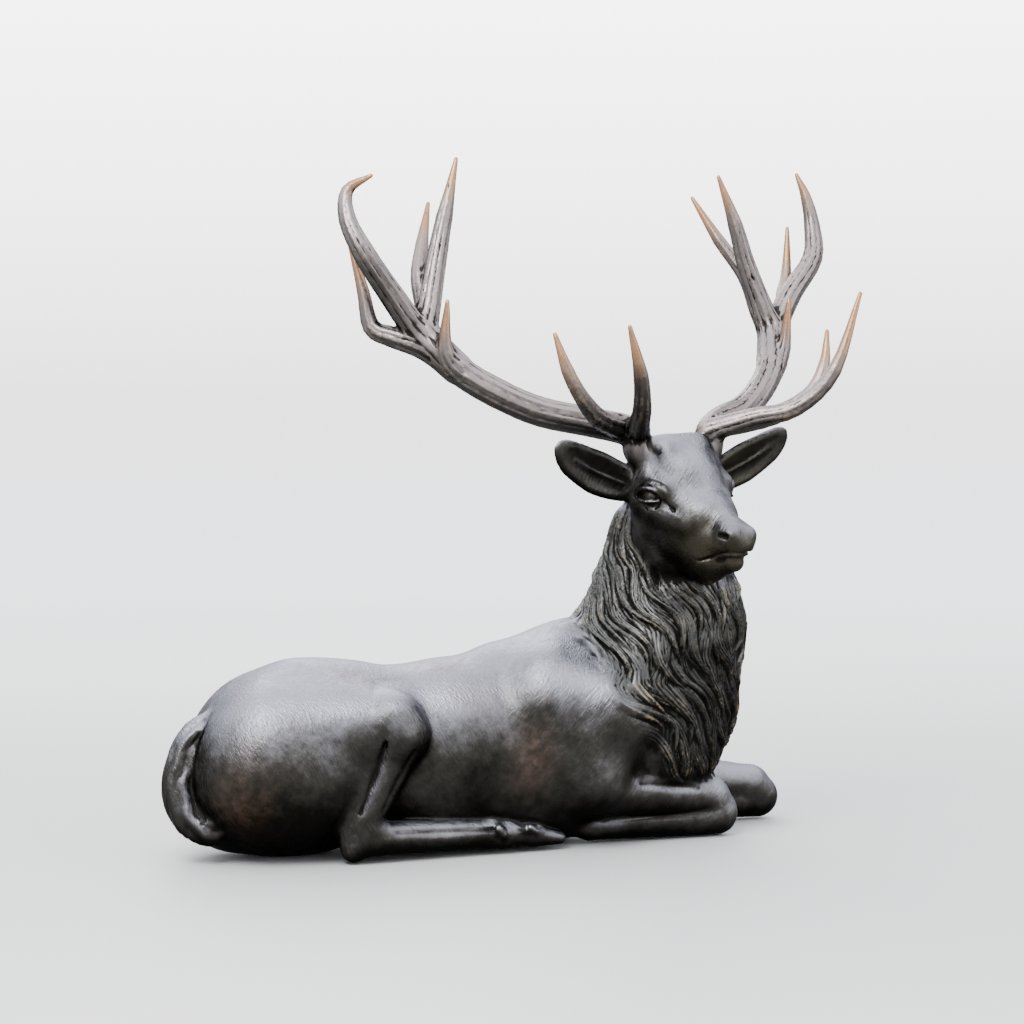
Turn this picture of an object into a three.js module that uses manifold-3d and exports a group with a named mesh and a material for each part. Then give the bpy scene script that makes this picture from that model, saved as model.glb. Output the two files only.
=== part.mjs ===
// A reclining stag in cast bronze, one hollow casting that rests on its own underside.
// Frame, in millimetres: +X runs from tail to breast, +Y to the animal's left, +Z up, and the floor is z = 0.
// The form is a smooth union of tapered muscles and bones, each running from one joint to the next.

import * as THREE from 'three';
import { edgeTable, triTable } from 'three/addons/objects/MarchingCubes.js';
import { SimplifyModifier } from 'three/addons/modifiers/SimplifyModifier.js';
import Module from 'manifold-3d';

// ---- Driving sizes ----
const TRIANGLES = 9700;        // facets of the whole casting
const CELL = 5;                // edge of a sampling cell
const BLOCK = 12;              // cells along one side of a sampling block
const MARGIN = 30;             // empty space kept round the form
const FLOOR_CUT = 60;          // depth of the slab that planes the underside

// Each muscle: name, [x, y, z, radius] at one end, the same at the other end, and the blend into what is there.
const TRUNK = [
  ["croup", [-478, 0, 218, 208], [-390, 0, 250, 196], 40],
  ["seat", [-590, 30, 160, 152], [-390, 30, 150, 148], 50],
  ["loin", [-390, 0, 250, 194], [-70, 0, 266, 180], 50],
  ["sacrum", [-462, 0, 362, 104], [-330, 0, 340, 108], 40],
  ["belly", [-150, 0, 175, 175], [150, 0, 180, 182], 60],
  ["rib cage", [-60, 0, 262, 188], [180, 0, 280, 212], 50],
  ["back ridge", [60, 0, 400, 90], [200, 0, 430, 92], 50],
  ["withers", [200, 0, 430, 92], [310, 0, 455, 100], 50],
  ["breastbone", [100, 0, 200, 180], [450, 0, 225, 160], 60],
];
const SHOULDER = [
  ["chest side", [370, -85, 430, 118], [425, -70, 265, 108], 60],
  ["shoulder blade", [140, -110, 415, 74], [280, -140, 330, 95], 60],
  ["upper arm", [290, -135, 320, 90], [240, -160, 165, 62], 50],
  ["triceps", [120, -125, 350, 85], [235, -160, 170, 66], 50],
];
const NECK = [
  ["neck root", [455, 0, 400, 195], [482, 0, 560, 176], 50],
  ["neck", [482, 0, 560, 176], [492, -15, 720, 140], 40],
  ["throat", [492, -15, 720, 140], [470, -45, 845, 98], 40],
  ["breast", [478, 0, 480, 198], [518, 0, 300, 132], 40],
  ["mane foot", [518, 0, 300, 132], [530, -10, 205, 60], 40],
];
const HAUNCH = [
  ["thigh", [-515, -70, 262, 168], [-285, -155, 318, 84], 45],
  ["buttock", [-545, -75, 200, 155], [-470, -88, 195, 148], 50],
  ["knee cap", [-262, -185, 335, 60], [-250, -188, 300, 62], 30],
  ["shin", [-250, -188, 300, 60], [-335, -178, 95, 36], 18],
  ["calf", [-325, -165, 290, 52], [-372, -172, 60, 22], 25],
  ["hock", [-358, -170, 36, 32], [-315, -175, 85, 36], 12],
];
const FOOT = [
  ["hind cannon", [-330, -172, 58, 42], [-20, -148, 52, 33], 12],
  ["hind fetlock", [-20, -148, 52, 37], [15, -146, 50, 36], 8],
  ["hind pastern", [15, -146, 50, 33], [90, -140, 46, 30], 8],
  ["hind hoof", [90, -140, 42, 31], [160, -137, 28, 15], 8],
  ["outer dewclaw", [-8, -182, 64, 13], [2, -182, 52, 12], 3],
  ["toe claw", [75, -170, 62, 9], [92, -168, 50, 8], 3],
];
const FAR_HAUNCH = [
  ["far thigh", [-515, 70, 262, 168], [-300, 150, 255, 96], 50],
  ["far buttock", [-545, 75, 200, 155], [-470, 88, 195, 148], 50],
  ["far shin", [-300, 150, 240, 90], [-340, 110, 80, 50], 30],
  ["far hind cannon", [-330, 80, 60, 45], [-120, -5, 46, 34], 15],
  ["far hind hoof", [-120, -5, 46, 32], [-62, -22, 34, 20], 10],
];
const FORELEG = [
  ["forearm", [280, -132, 142, 68], [570, -68, 104, 50], 20],
  ["fore knee", [580, -65, 92, 50], [600, -63, 62, 50], 15],
  ["fore cannon", [598, -67, 52, 49], [258, -80, 48, 40], 6],
  ["fore fetlock", [258, -76, 50, 40], [212, -78, 60, 40], 10],
  ["fore pastern", [212, -78, 60, 36], [136, -78, 72, 30], 8],
  ["fore hoof", [136, -78, 72, 30], [84, -82, 72, 24], 6],
  ["fore dewclaw", [204, -106, 92, 11], [232, -104, 98, 9], 3],
];
const FAR_FORELEG = [
  ["far forearm", [430, 125, 125, 66], [768, 138, 92, 48], 25],
  ["far fore knee", [778, 138, 84, 50], [798, 138, 62, 50], 15],
  ["far fore cannon", [795, 138, 52, 48], [460, 130, 48, 38], 12],
  ["far fore pastern", [460, 130, 50, 38], [350, 115, 50, 28], 10],
];
const TAIL = [
  [-632, 0, 336, 28], [-700, -12, 296, 34], [-732, -22, 230, 38], [-738, -32, 165, 42], [-716, -50, 108, 44],
  [-680, -74, 84, 38], [-655, -92, 92, 20],
];
// ---- Head: forward, left and up of the point midway between the eyes ----
const EYE_CENTRE = new THREE.Vector3(480, -170, 853);
const HEAD_YAW = -73;          // degrees, from +X towards +Y
const HEAD_PITCH = 22;         // degrees, muzzle below the level
const HEAD_ROLL = 2.5;         // degrees, left ear raised

const SKULL = [
  ["brain case", [-95, 0, 10, 92], [-30, 0, 16, 94], 20],
  ["poll", [-66, -46, 30, 66], [-66, 46, 30, 66], 20],
  ["forelock", [-70, -34, 80, 46], [-70, 34, 80, 46], 25],
  ["forehead", [0, 0, -6, 70], [80, 0, -10, 48], 25],
  ["nose bridge", [80, 0, -8, 44], [190, 0, -18, 32], 20],
  ["lower jaw", [-30, 0, -138, 70], [120, 0, -124, 50], 30],
  ["chin", [120, 0, -122, 50], [208, 0, -84, 25], 20],
];
const FACE = [
  ["brow", [-48, -88, 26, 36], [8, -94, 24, 26], 20],
  ["pedicle", [-58, -74, 56, 44], [-64, -98, 112, 44], 16],
  ["temple", [-76, -92, -4, 46], [-52, -96, -26, 38], 25],
  ["cheek bone", [4, -92, -34, 30], [84, -62, -38, 28], 22],
  ["cheek", [-44, -58, -60, 54], [40, -46, -80, 50], 30],
  ["jaw muscle", [-24, -52, -112, 54], [8, -44, -152, 50], 30],
  ["upper jaw", [20, -42, -52, 50], [140, -22, -52, 38], 25],
  ["side of the mouth", [40, -40, -94, 46], [138, -30, -92, 36], 25],
  ["nostril", [182, -20, -20, 28], [206, -22, -18, 25], 10],
  ["upper lip", [140, -24, -62, 36], [210, -12, -38, 29], 12],
  ["crown tuft", [-58, -24, 104, 26], [-74, -36, 148, 7], 10],
  ["eye corner", [24, -84, -2, 26], [84, -44, -24, 26], 22],
  ["eyeball", [-12, -115, 0, 21], [-6, -114, -1, 21], 4],
];
const HOLLOWS = [
  ["nostril hole", [194, -48, -24, 8], [212, -44, -20, 6], 4],
  ["nostril wing", [180, -46, -12, 3.5], [194, -48, -24, 5], 3],
  ["mouth corner", [146, -65, -102, 4], [170, -46, -88, 4.5], 4],
  ["mouth side", [170, -46, -88, 4.5], [204, -31, -68, 4], 4],
  ["mouth front", [204, -31, -68, 4], [236, 0, -54, 4], 4],
  ["tear duct", [28, -114, 0, 4.5], [54, -94, -14, 3], 5],
];
const EAR = [[-70, 104, -4, 24], [-78, 165, 8, 33], [-86, 232, 34, 39], [-92, 298, 72, 29], [-94, 338, 98, 8]];
const BEAM = [[-62, 98, 104, 40], [-70, 114, 156, 37], [-124, 206, 174, 35], [-174, 313, 198, 35],
  [-222, 408, 243, 34], [-276, 495, 312, 34], [-335, 550, 395, 34]];
const NEAR_OUTER = [[-276, 495, 312, 34], [-335, 560, 395, 32], [-350, 630, 490, 29], [-350, 700, 580, 26],
  [-378, 730, 665, 21], [-400, 722, 738, 15], [-350, 687, 775, 5]];
const FAR_OUTER = [[-276, 495, 312, 34], [-335, 560, 395, 32], [-350, 630, 490, 29], [-350, 706, 580, 26],
  [-378, 732, 665, 21], [-396, 722, 738, 14], [-410, 703, 797, 5]];
const NEAR_BACK = [[-276, 495, 312, 24], [-330, 556, 360, 28], [-376, 608, 384, 25], [-405, 650, 412, 21],
  [-420, 664, 500, 15], [-445, 690, 630, 5]];
const FAR_BACK = [[-335, 560, 395, 20], [-350, 600, 445, 20], [-385, 632, 490, 17], [-412, 665, 545, 14], [-435, 694, 662, 5]];
const NEAR_INNER = [[-276, 495, 312, 30], [-330, 540, 395, 30], [-352, 520, 465, 28], [-375, 486, 572, 25],
  [-388, 452, 690, 20], [-400, 411, 836, 5]];
const FAR_INNER = [[-276, 495, 312, 30], [-330, 540, 395, 30], [-348, 524, 460, 28], [-368, 492, 560, 24],
  [-382, 458, 660, 19], [-396, 414, 778, 5]];
const MID = [[-340, 538, 400, 26], [-358, 525, 450, 24], [-404, 514, 535, 20], [-460, 472, 625, 16], [-512, 420, 730, 5]];
const TREZ = [[-222, 408, 243, 28], [-256, 486, 290, 24], [-264, 528, 350, 19], [-252, 533, 468, 5]];
const BEZ = [[-80, 150, 160, 28], [-6, 268, 184, 23], [34, 352, 236, 18], [42, 396, 300, 15], [26, 420, 384, 5]];
const NEAR_BROW = [[-55, 105, 150, 28], [44, 165, 180, 24], [128, 220, 216, 21], [194, 284, 294, 17], [208, 347, 398, 5]];
const FAR_BROW = [[-55, 105, 150, 28], [30, 170, 182, 24], [118, 236, 205, 21], [188, 296, 290, 17], [220, 350, 466, 5]];
const EAR_FACE = [0.9, -0.25, 0.1];  // where the hollow of the left ear looks, mirrored for the right one
const EAR_FLAT = 0.32;         // thickness of an ear over its width
const EAR_DISH = 14;           // how far the hollow of an ear lies in front of its back
const EAR_HOLLOW = 0.82;       // width of the hollow over that of the ear
const EAR_BLEND = 10;
const EAR_CARVE = 5;
const CHAIN_STEPS = 4;         // muscles between two joints of a smooth chain
const TAIL_BLEND = 12;
const ANTLER_BLEND = 13;
const ANTLER_START = 150;      // height over the eyes where the antlers leave the skull
const NEAR_RISE = 0.97;        // the near antler is a little lower than the drawn one
const FAR_RISE = 1.06;         // and the far one a little taller

// ---- Mane: tiers of pointed locks that run down the neck and close in on a parting ----
const NECK_LINE = [[190, 520, -10], [300, 505, 0], [400, 455, 0], [480, 470, 0], [560, 482, 0],
  [720, 492, -15], [845, 470, -45]];                                    // height, x, y
const PARTING = [[200, -30], [700, -72]];                               // height, degrees from +X
const COVER = [[150, 100], [260, 130], [400, 153], [520, 172], [600, 210]];  // height, degrees from +X
const COVER_FADE = 22;
const NAPE_FADE = 10;          // degrees beside the line where the two sides meet behind
const MANE_FOOT = [135, 190];  // heights between which the mane fades in
const MANE_TOP = [[45, 660], [95, 835]];  // degrees from the parting, height
const MANE_FADE = 45;
const GATHER = [[150, 0.86], [480, 0.47], [620, 0], [820, -0.57]];  // height, log of the flow's closing in
const TIER = 88;               // fall from one tier of locks to the next
const TIERS = 5;               // that can lie over one another
const LOCK_LENGTH = 240;
const LOCK_WIDTH = 46;
const NECK_RADIUS = 190;       // turns degrees of flow into millimetres
const LOCK_HEIGHT = 21;
const LOCK_SINK = 0.35;        // part of a lock's height that lies below the neck's surface
const LOCK_CURL = 0.42;
const WAVE = 3.5;              // degrees
const WAVE_LENGTH = 190;

// ---- Assembly of the muscle list ----
const muscles = [];

function addMuscle(from, to, blend, { flat = null, carves = false, chain = {} } = {}) {
  const a = new THREE.Vector3(from[0], from[1], from[2]);
  const b = new THREE.Vector3(to[0], to[1], to[2]);
  muscles.push({
    a,
    axis: b.clone().sub(a),
    length2: a.distanceToSquared(b) + 1e-9,
    startRadius: from[3],
    growth: to[3] - from[3],
    blend,
    flat,
    carves,
    chain,
    centre: a.clone().add(b).multiplyScalar(0.5),
    reach: a.distanceTo(b) / 2 + Math.max(from[3], to[3]) + 2 * blend / (flat ? flat.ratio : 1),
  });
}

function addTable(table, side = 1) {
  for (const [, from, to, blend] of table) {
    addMuscle([from[0], from[1] * side, from[2], from[3]], [to[0], to[1] * side, to[2], to[3]], blend);
  }
}

function headFrame(pitch, roll) {
  const [x, y, z] = [roll, pitch, HEAD_YAW].map(THREE.MathUtils.degToRad);
  return new THREE.Matrix4().makeRotationFromEuler(new THREE.Euler(x, y, z, 'ZYX')).setPosition(EYE_CENTRE);
}

const skullFrame = headFrame(HEAD_PITCH, HEAD_ROLL);
const antlerFrame = headFrame(0, 0);

function placed(frame, joint, side = 1) {
  const point = new THREE.Vector3(joint[0], joint[1] * side, joint[2]).applyMatrix4(frame);
  return [point.x, point.y, point.z, joint[3]];
}

// Every joint of a curve through these: Catmull-Rom for the places, straight for the radii.
function smoothChain(joints) {
  const curve = new THREE.CatmullRomCurve3(joints.map(([x, y, z]) => new THREE.Vector3(x, y, z)));
  curve.curveType = 'catmullrom';
  const steps = (joints.length - 1) * CHAIN_STEPS;
  return Array.from({ length: steps + 1 }, (_, step) => {
    const first = Math.min(Math.floor(step / CHAIN_STEPS), joints.length - 2);
    const share = step / CHAIN_STEPS - first;
    const radius = THREE.MathUtils.lerp(joints[first][3], joints[first + 1][3], share);
    return [...curve.getPoint(step / steps), radius];
  });
}

// The muscles of a chain count as one, so that no seam swells between them.
function addChain(joints, blend) {
  const chain = {};
  for (let i = 0; i + 1 < joints.length; i += 1) {
    addMuscle(joints[i], joints[i + 1], blend, { chain });
  }
}

function addSkull() {
  for (const [, from, to, blend] of SKULL) {
    addMuscle(placed(skullFrame, from), placed(skullFrame, to), blend);
  }
  for (const side of [1, -1]) {
    for (const [, from, to, blend] of FACE) {
      addMuscle(placed(skullFrame, from, side), placed(skullFrame, to, side), blend);
    }
  }
  for (const side of [1, -1]) {
    for (const [, from, to, blend] of HOLLOWS) {
      addMuscle(placed(skullFrame, from, side), placed(skullFrame, to, side), blend, { carves: true });
    }
  }
}

function addEar(side) {
  const ear = smoothChain(EAR.map((joint) => placed(skullFrame, joint, side)));
  const length = new THREE.Vector3(...ear[ear.length - 1]).sub(new THREE.Vector3(...ear[0])).normalize();
  const face = new THREE.Vector3(EAR_FACE[0], EAR_FACE[1] * side, EAR_FACE[2]).transformDirection(skullFrame);
  face.addScaledVector(length, -face.dot(length)).normalize();
  const flat = { direction: face, ratio: EAR_FLAT };
  const dish = ear.map(([x, y, z, radius]) => {
    const point = new THREE.Vector3(x, y, z).addScaledVector(face, EAR_DISH);
    return [...point, radius * EAR_HOLLOW];
  });
  for (let i = 0; i + 1 < ear.length; i += 1) {
    addMuscle(ear[i], ear[i + 1], EAR_BLEND, { flat });
  }
  for (let i = CHAIN_STEPS; i + 2 < ear.length; i += 1) {
    addMuscle(dish[i], dish[i + 1], EAR_CARVE, { flat, carves: true });
  }
}

function addAntler(side, tines, rise) {
  const lifted = (joint) => {
    const over = Math.max(0, joint[2] - ANTLER_START);
    return placed(antlerFrame, [joint[0], joint[1], joint[2] + over * (rise - 1), joint[3]], side);
  };
  for (const chain of [BEAM, MID, TREZ, BEZ, ...tines]) {
    addChain(smoothChain(chain.map(lifted)), ANTLER_BLEND);
  }
}

// ---- Distance field ----
function muscleDistance(muscle, x, y, z) {
  let px = x - muscle.a.x;
  let py = y - muscle.a.y;
  let pz = z - muscle.a.z;
  if (muscle.flat) {
    const { direction, ratio } = muscle.flat;
    const off = (px * direction.x + py * direction.y + pz * direction.z) * (1 / ratio - 1);
    px += off * direction.x;
    py += off * direction.y;
    pz += off * direction.z;
  }
  const { axis } = muscle;
  const along = (px * axis.x + py * axis.y + pz * axis.z) / muscle.length2;
  const t = Math.min(1, Math.max(0, along));
  const radius = muscle.startRadius + muscle.growth * t;
  const distance = Math.hypot(px - axis.x * t, py - axis.y * t, pz - axis.z * t) - radius;
  return muscle.flat ? distance * muscle.flat.ratio : distance;
}

function smoothUnion(a, b, blend) {
  const overlap = Math.max(blend - Math.abs(a - b), 0) / blend;
  return Math.min(a, b) - overlap * overlap * blend * 0.25;
}

function muscleField(list, x, y, z) {
  let distance = 400;
  for (let i = 0; i < list.length;) {
    const { chain, carves, blend } = list[i];
    let own = Infinity;
    for (; i < list.length && list[i].chain === chain; i += 1) {
      own = Math.min(own, muscleDistance(list[i], x, y, z));
    }
    distance = carves ? -smoothUnion(-distance, own, blend) : smoothUnion(distance, own, blend);
  }
  return distance;
}

// ---- Mane relief ----
function along(curve, at, column = 1) {
  const last = curve.length - 1;
  if (at <= curve[0][0]) {
    return curve[0][column];
  }
  if (at >= curve[last][0]) {
    return curve[last][column];
  }
  const next = curve.findIndex((row) => row[0] > at);
  const [from, to] = [curve[next - 1], curve[next]];
  return from[column] + (to[column] - from[column]) * (at - from[0]) / (to[0] - from[0]);
}

function scatter(i, j) {
  const value = Math.sin(i * 12.9898 + j * 78.233) * 43758.5453;
  return value - Math.floor(value);
}

// Height of one lock over its own footprint, 0 to 1.
function lockHeight(column, tier, z, flow, half) {
  const a = scatter(column + half, tier);
  const b = scatter(column + half + 7, tier + 13);
  const fall = ((tier + 0.5 * (a - 0.5)) * TIER + 28 - z) / (LOCK_LENGTH * (0.7 + 0.6 * b));
  if (fall <= 0 || fall >= 1) {
    return 0;
  }
  const curl = LOCK_CURL * Math.sin(5.2 * fall + 6.28 * a) + 0.5 * (b - 0.5) * fall;
  const across = flow - column - 0.5 - curl;
  const width = 0.66 * (0.75 + 0.5 * a) * Math.sqrt(Math.min(1, fall * 7)) * (1 - fall ** 2.2) + 1e-3;
  const crown = Math.sqrt(Math.max(0, 1 - (across / width) ** 2));
  const tip = Math.min(1, (1 - fall) * 5) ** 0.6;
  return crown * (0.35 + 0.65 * fall) * (0.8 + 0.4 * a) * tip;
}

function maneRelief(x, y, z) {
  const angle = THREE.MathUtils.radToDeg(Math.atan2(y - along(NECK_LINE, z, 2), x - along(NECK_LINE, z, 1)));
  const turned = THREE.MathUtils.euclideanModulo(angle - along(PARTING, z) + 180, 360) - 180;
  const off = Math.abs(turned);
  const cover = along(COVER, z);
  const top = along(MANE_TOP, off);
  const mask = (1 - THREE.MathUtils.smoothstep(Math.abs(angle), cover - COVER_FADE, cover))
    * (1 - THREE.MathUtils.smoothstep(z, top - MANE_FADE, top))
    * (1 - THREE.MathUtils.smoothstep(off, 180 - NAPE_FADE, 180))
    * THREE.MathUtils.smoothstep(z, ...MANE_FOOT);
  if (mask === 0) {
    return 0;
  }
  const waved = off + WAVE * Math.sin(2 * Math.PI * z / WAVE_LENGTH + off / 17);
  const flow = waved * Math.exp(along(GATHER, z));
  const half = turned < 0 ? 0 : 50;
  let height = 0;
  for (let step = 0; step < TIERS; step += 1) {
    const tier = Math.floor(z / TIER) + step;
    const width = THREE.MathUtils.radToDeg(LOCK_WIDTH / NECK_RADIUS) * Math.exp(along(GATHER, tier * TIER));
    const shifted = flow / width - 0.5 * THREE.MathUtils.euclideanModulo(tier, 2);
    for (const beside of [-1, 0, 1]) {
      height = Math.max(height, lockHeight(Math.floor(shifted) + beside, tier, z, shifted, half));
    }
  }
  return (height - LOCK_SINK) * LOCK_HEIGHT * mask;
}

function fieldAt(list, x, y, z) {
  const distance = muscleField(list, x, y, z);
  return Math.abs(distance) > 2 * LOCK_HEIGHT ? distance : distance - maneRelief(x, y, z);
}

// ---- Surface: sample the field in blocks, then march the cubes ----
function formBounds() {
  const box = new THREE.Box3();
  for (const { a, axis, startRadius, growth } of muscles) {
    const radius = startRadius + Math.max(0, growth);
    const b = a.clone().add(axis);
    for (const end of [a, b]) {
      box.expandByPoint(end.clone().addScalar(radius));
      box.expandByPoint(end.clone().addScalar(-radius));
    }
  }
  box.min.z = Math.max(box.min.z, -MARGIN);
  return box.expandByScalar(MARGIN);
}

const CORNERS = [[0, 0, 0], [1, 0, 0], [1, 1, 0], [0, 1, 0], [0, 0, 1], [1, 0, 1], [1, 1, 1], [0, 1, 1]];
const EDGES = [[0, 1], [1, 2], [2, 3], [3, 0], [4, 5], [5, 6], [6, 7], [7, 4], [0, 4], [1, 5], [2, 6], [3, 7]];

function sampleBlock(origin, list) {
  const side = BLOCK + 1;
  const values = new Float64Array(side ** 3);
  let at = 0;
  for (let k = 0; k < side; k += 1) {
    for (let j = 0; j < side; j += 1) {
      for (let i = 0; i < side; i += 1) {
        values[at] = fieldAt(list, origin.x + i * CELL, origin.y + j * CELL, origin.z + k * CELL);
        at += 1;
      }
    }
  }
  return values;
}

function marchedForm() {
  const box = formBounds();
  const span = BLOCK * CELL;
  const counts = box.getSize(new THREE.Vector3()).divideScalar(span).ceil();
  const pointsX = counts.x * BLOCK + 1;
  const pointsY = counts.y * BLOCK + 1;
  const blockReach = span * Math.sqrt(3) / 2;
  const positions = [];
  const index = [];
  const seen = new Map();

  function edgeVertex(block, origin, values, cell, edge) {
    const [from, to] = EDGES[edge].map((corner) => CORNERS[corner].map((step, axis) => cell[axis] + step));
    const low = from[0] + from[1] + from[2] < to[0] + to[1] + to[2] ? from : to;
    const axis = from.findIndex((step, n) => step !== to[n]);
    const global = low.map((step, n) => step + block[n] * BLOCK);
    const key = ((global[2] * pointsY + global[1]) * pointsX + global[0]) * 3 + axis;
    if (!seen.has(key)) {
      const side = BLOCK + 1;
      const high = low.map((step, n) => step + (n === axis ? 1 : 0));
      const start = values[(low[2] * side + low[1]) * side + low[0]];
      const end = values[(high[2] * side + high[1]) * side + high[0]];
      const t = Math.min(0.97, Math.max(0.03, start / (start - end)));
      const point = low.map((step, n) => step + (n === axis ? t : 0));
      seen.set(key, positions.length / 3);
      positions.push(origin.x + point[0] * CELL, origin.y + point[1] * CELL, origin.z + point[2] * CELL);
    }
    return seen.get(key);
  }

  function marchBlock(block) {
    const origin = new THREE.Vector3(...block).multiplyScalar(span).add(box.min);
    const centre = origin.clone().addScalar(span / 2);
    const list = muscles.filter((m) => m.centre.distanceTo(centre) < m.reach + blockReach);
    if (list.length === 0 || Math.abs(muscleField(list, ...centre)) > blockReach + 2 * LOCK_HEIGHT) {
      return;
    }
    const values = sampleBlock(origin, list);
    const side = BLOCK + 1;
    for (let k = 0; k < BLOCK; k += 1) {
      for (let j = 0; j < BLOCK; j += 1) {
        for (let i = 0; i < BLOCK; i += 1) {
          let cube = 0;
          CORNERS.forEach(([a, b, c], bit) => {
            if (values[((k + c) * side + j + b) * side + i + a] < 0) {
              cube |= 1 << bit;
            }
          });
          if (edgeTable[cube] === 0) {
            continue;
          }
          for (let n = cube * 16; triTable[n] !== -1; n += 3) {
            for (const step of [0, 2, 1]) {
              index.push(edgeVertex(block, origin, values, [i, j, k], triTable[n + step]));
            }
          }
        }
      }
    }
  }

  for (let k = 0; k < counts.z; k += 1) {
    for (let j = 0; j < counts.y; j += 1) {
      for (let i = 0; i < counts.x; i += 1) {
        marchBlock([i, j, k]);
      }
    }
  }
  const geometry = new THREE.BufferGeometry();
  geometry.setAttribute('position', new THREE.Float32BufferAttribute(positions, 3));
  geometry.setIndex(index);
  return geometry;
}

// ---- Facets and the planed underside ----
const wasm = await Module();
wasm.setup();

function toManifold(geometry) {
  const mesh = new wasm.Mesh({
    numProp: 3,
    vertProperties: new Float32Array(geometry.attributes.position.array),
    triVerts: new Uint32Array(geometry.index.array),
  });
  mesh.merge();
  return new wasm.Manifold(mesh);
}

function fromManifold(solid) {
  const { vertProperties, triVerts } = solid.getMesh();
  const geometry = new THREE.BufferGeometry();
  geometry.setAttribute('position', new THREE.Float32BufferAttribute(vertProperties, 3));
  geometry.setIndex(new THREE.Uint32BufferAttribute(triVerts, 1));
  geometry.computeVertexNormals();
  return geometry;
}

async function facetedForm(fine) {
  const excess = fine.attributes.position.count - Math.round(TRIANGLES / 2);
  return new SimplifyModifier().modify(fine, excess);
}

function planedUnderside(form) {
  const size = form.boundingBox.getSize(new THREE.Vector3()).addScalar(2 * MARGIN);
  const centre = form.boundingBox.getCenter(new THREE.Vector3());
  const slab = new THREE.BoxGeometry(size.x, size.y, FLOOR_CUT);
  slab.deleteAttribute('normal');
  slab.deleteAttribute('uv');
  slab.translate(centre.x, centre.y, -FLOOR_CUT / 2);
  return fromManifold(toManifold(form).subtract(toManifold(slab)));
}

addTable(TRUNK);
addTable(SHOULDER);
addTable(SHOULDER, -1);
addTable(NECK);
addTable(HAUNCH);
addTable(FAR_HAUNCH);
addTable(FOOT);
addTable(FORELEG);
addTable(FAR_FORELEG);
addChain(smoothChain(TAIL), TAIL_BLEND);
addSkull();
for (const side of [-1, 1]) {
  addEar(side);
}
addAntler(-1, [NEAR_OUTER, NEAR_BACK, NEAR_INNER, NEAR_BROW], NEAR_RISE);
addAntler(1, [FAR_OUTER, FAR_BACK, FAR_INNER, FAR_BROW], FAR_RISE);

const form = await facetedForm(marchedForm());
form.computeBoundingBox();

const bronze = new THREE.MeshStandardMaterial({ color: '#4a443e', metalness: 1, roughness: 0.45 });
const stag = new THREE.Group();
const casting = new THREE.Mesh(planedUnderside(form), bronze);
casting.name = 'reclining_stag';
stag.add(casting);

export default stag;
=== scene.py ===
"""A reclining stag in cast bronze: the looks of the casting on a pale studio floor.

The casting is one mesh. Its form follows the CAD solid, a smooth union of tapered muscles, sampled finely.
Crown, pedicles, mouth, brow tine and foot of the antlers are placed a little differently from the solid's,
and eyelids, ribs of the ears and grooves of the legs are added. Mane, antlers and tail carry relief.
Lengths are millimetres in the tables and metres in Blender.
"""

import itertools
import math

import bmesh
import bpy
import numpy as np
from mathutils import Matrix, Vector


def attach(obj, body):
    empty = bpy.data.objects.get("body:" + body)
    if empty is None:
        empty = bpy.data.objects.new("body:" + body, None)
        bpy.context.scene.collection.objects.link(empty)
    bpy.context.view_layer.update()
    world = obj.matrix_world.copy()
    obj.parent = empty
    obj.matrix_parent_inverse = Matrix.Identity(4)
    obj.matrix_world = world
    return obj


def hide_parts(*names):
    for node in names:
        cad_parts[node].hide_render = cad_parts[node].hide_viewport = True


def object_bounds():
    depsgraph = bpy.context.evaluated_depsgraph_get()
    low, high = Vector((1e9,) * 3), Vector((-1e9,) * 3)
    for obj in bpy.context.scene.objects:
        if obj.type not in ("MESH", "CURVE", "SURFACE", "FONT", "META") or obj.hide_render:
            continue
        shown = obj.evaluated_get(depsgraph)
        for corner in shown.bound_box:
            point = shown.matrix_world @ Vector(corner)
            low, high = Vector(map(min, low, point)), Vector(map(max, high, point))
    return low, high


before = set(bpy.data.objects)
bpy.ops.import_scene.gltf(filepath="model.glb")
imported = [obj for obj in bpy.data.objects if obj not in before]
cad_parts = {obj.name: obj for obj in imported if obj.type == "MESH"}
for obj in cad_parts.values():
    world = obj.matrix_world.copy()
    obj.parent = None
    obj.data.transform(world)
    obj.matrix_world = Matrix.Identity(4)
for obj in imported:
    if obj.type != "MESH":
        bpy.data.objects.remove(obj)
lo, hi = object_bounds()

# ---- Driving sizes, in millimetres ----
MM = 0.001
CELL = 6.0              # edge of a sampling cell of the form
BLOCK = 16              # cells along one side of a sampling block
MARGIN = 24.0           # empty space kept round the form
FAR = 400.0             # distance given to a point that is near no muscle
TRIANGLES = 190_000     # of the finished casting

# Each muscle: name, [x, y, z, radius] at one end, the same at the other end, and its blend into the form.
TRUNK = [
  ["croup", [-478, 0, 218, 208], [-390, 0, 250, 196], 40],
  ["seat", [-590, 30, 160, 152], [-390, 30, 150, 148], 50],
  ["loin", [-390, 0, 250, 194], [-70, 0, 266, 180], 50],
  ["sacrum", [-462, 0, 362, 104], [-330, 0, 340, 108], 40],
  ["belly", [-150, 0, 175, 175], [150, 0, 180, 182], 60],
  ["rib cage", [-60, 0, 262, 188], [180, 0, 280, 212], 50],
  ["back ridge", [60, 0, 400, 90], [200, 0, 430, 92], 50],
  ["withers", [200, 0, 430, 92], [310, 0, 455, 100], 50],
  ["breastbone", [100, 0, 200, 180], [450, 0, 225, 160], 60],
]
SHOULDER = [
  ["chest side", [370, -85, 430, 118], [425, -70, 265, 108], 60],
  ["shoulder blade", [140, -110, 415, 74], [280, -140, 330, 95], 60],
  ["upper arm", [290, -135, 320, 90], [240, -160, 165, 62], 50],
  ["triceps", [120, -125, 350, 85], [235, -160, 170, 66], 50],
]
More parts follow.
